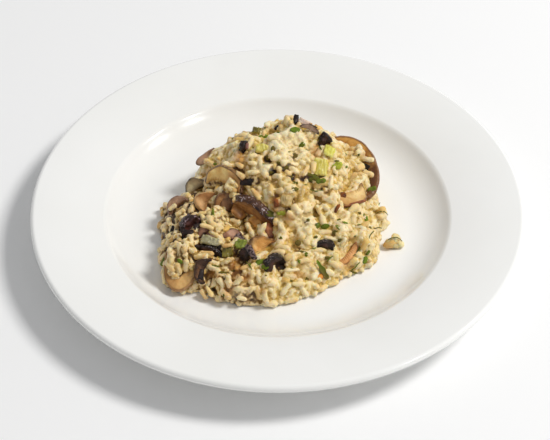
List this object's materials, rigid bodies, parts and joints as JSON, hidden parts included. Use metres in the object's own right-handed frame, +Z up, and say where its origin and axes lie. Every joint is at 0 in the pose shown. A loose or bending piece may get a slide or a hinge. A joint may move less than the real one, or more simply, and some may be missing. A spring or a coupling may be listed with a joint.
{
  "type": "mushroom risotto on a plate",
  "caption": "Uneven heap of risotto rice with browned mushroom slices, leek and herbs on a white wide-rimmed dinner plate.",
  "frame": {"origin": "on the table under the middle of the plate", "axes": "+Z up; -Y towards the viewer who sits at the plate, +X to that viewer's right"},
  "size_m": [0.28, 0.28, 0.0559],
  "materials": {
    "plate_glaze": "gloss",
    "rice": "moist satin",
    "mushroom": "moist satin",
    "leek": "moist gloss",
    "onion": "moist gloss",
    "parsley": "satin",
    "carrot": "moist gloss"
  },
  "bodies": {
    "root": {"plate": "plate_glaze", "risotto": "rice", "mushroom_rear_right": "mushroom", "mushroom_centre_strip": "mushroom", "mushroom_upper_left": "mushroom", "mushroom_left_tan": "mushroom", "mushroom_left_grey": "mushroom", "mushroom_left_rim": "mushroom", "mushroom_far_left": "mushroom", "mushroom_left_dark": "mushroom", "mushroom_front_left": "mushroom", "mushroom_front_brown": "mushroom", "mushroom_front_gold": "mushroom", "mushroom_front_black": "mushroom", "mushroom_right_black": "mushroom", "mushroom_right_sliver": "mushroom", "mushroom_right_gold": "mushroom", "mushroom_top_black": "mushroom", "mushroom_crest_edge": "mushroom", "mushroom_top_left": "mushroom", "mushroom_left_end": "mushroom", "mushroom_left_strip": "mushroom", "mushroom_front_dark": "mushroom", "mushroom_left_pink": "mushroom", "mushroom_left_rose": "mushroom", "leek_top_ribbed": "leek", "leek_top_bright": "leek", "leek_top_yellow": "leek", "leek_crest_olive": "leek", "leek_front_olive": "leek", "leek_front_green": "leek", "onion_centre": "onion", "leek_left_grey": "leek", "parsley_right": "parsley", "loose_grains": "rice"}
  },
  "joints": []
}
